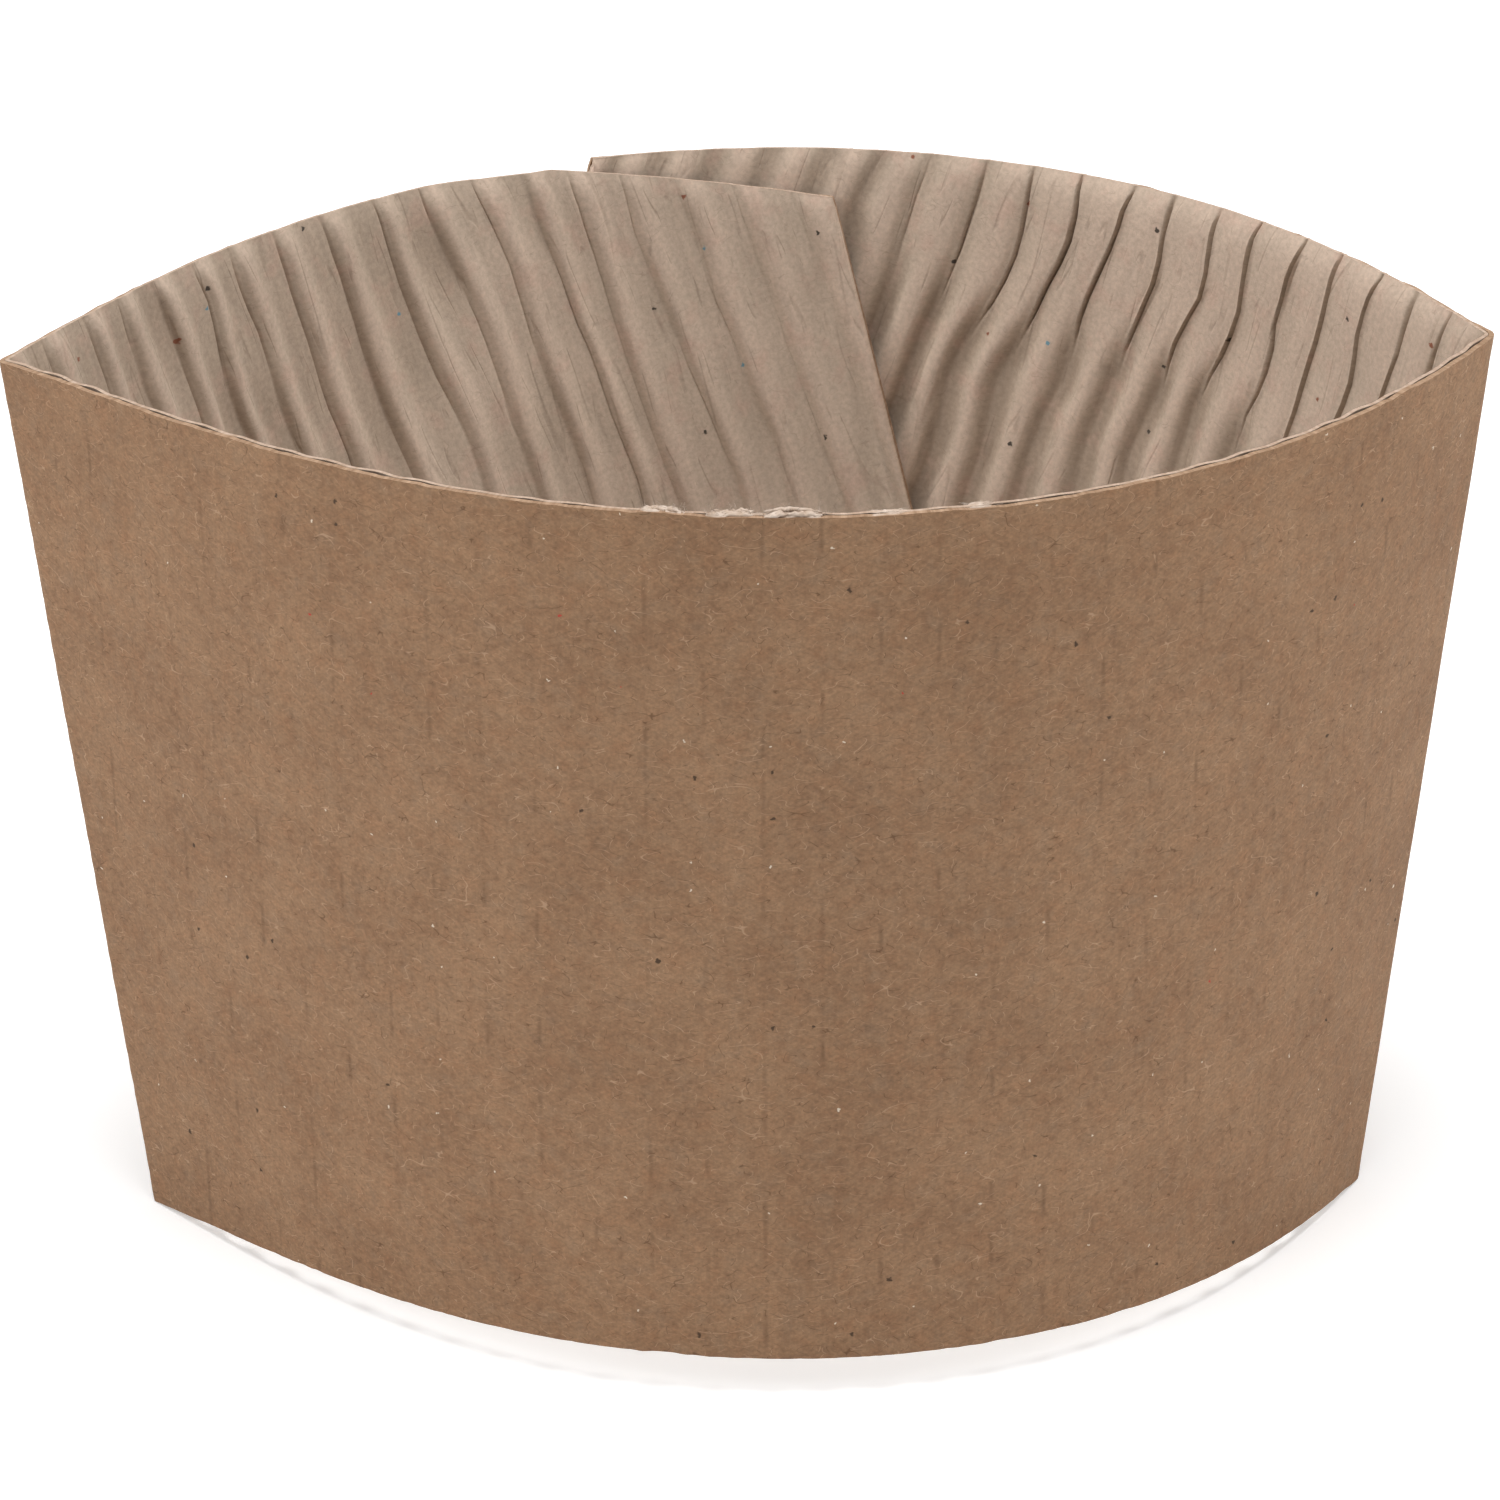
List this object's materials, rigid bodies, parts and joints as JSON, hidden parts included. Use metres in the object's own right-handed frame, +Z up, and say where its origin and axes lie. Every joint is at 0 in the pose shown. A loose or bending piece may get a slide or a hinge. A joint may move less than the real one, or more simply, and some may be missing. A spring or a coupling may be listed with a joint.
{
  "type": "coffee cup sleeve",
  "caption": "Tapered sleeve of single-face corrugated board for a hot paper cup, creased at its sides, lapped and glued behind, smooth outside and fluted inside.",
  "frame": {"origin": "on the table, under the middle of the sleeve's bounding box", "axes": "+X to the right crease, +Y to the glued back wall, +Z up out of the wide end; the front wall faces -Y"},
  "size_m": [0.0984, 0.0694, 0.0648],
  "materials": {
    "kraft_liner": "matt brown kraft paper",
    "fluted_medium": "matt grey-brown recycled fluting paper"
  },
  "bodies": {
    "root": {"kraft_liner": "kraft_liner", "fluted_medium": "fluted_medium"}
  },
  "joints": []
}
